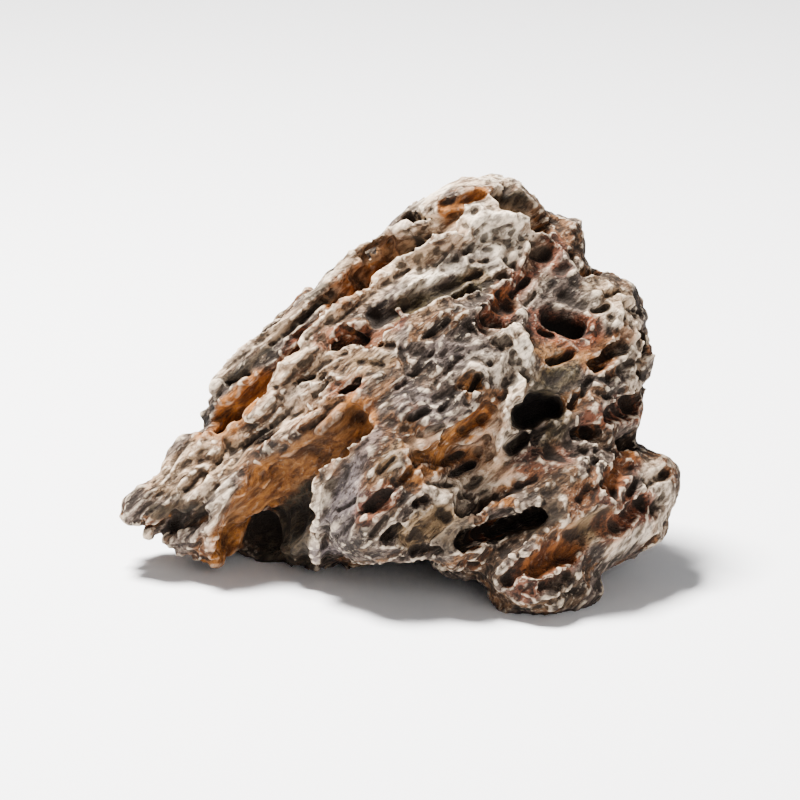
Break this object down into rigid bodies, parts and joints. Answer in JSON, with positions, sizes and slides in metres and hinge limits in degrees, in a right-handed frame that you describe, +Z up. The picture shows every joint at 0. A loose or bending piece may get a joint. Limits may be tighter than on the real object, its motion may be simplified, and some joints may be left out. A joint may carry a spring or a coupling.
{
  "type": "aquarium dragon stone",
  "caption": "Weathered clay rock for an aquascape: long furrows along its grain, round holes in its blunt end, and an underside worn flat at the feet.",
  "frame": {"origin": "on the ground under the middle of the stone's box", "axes": "+X along the stone's longest side, from its thin end to its blunt end; +Z up; the furrowed face looks towards -Y"},
  "size_m": [0.1611, 0.1075, 0.1097],
  "materials": {
    "stone": "rough, matt"
  },
  "bodies": {
    "root": {"stone": "stone"}
  },
  "joints": []
}
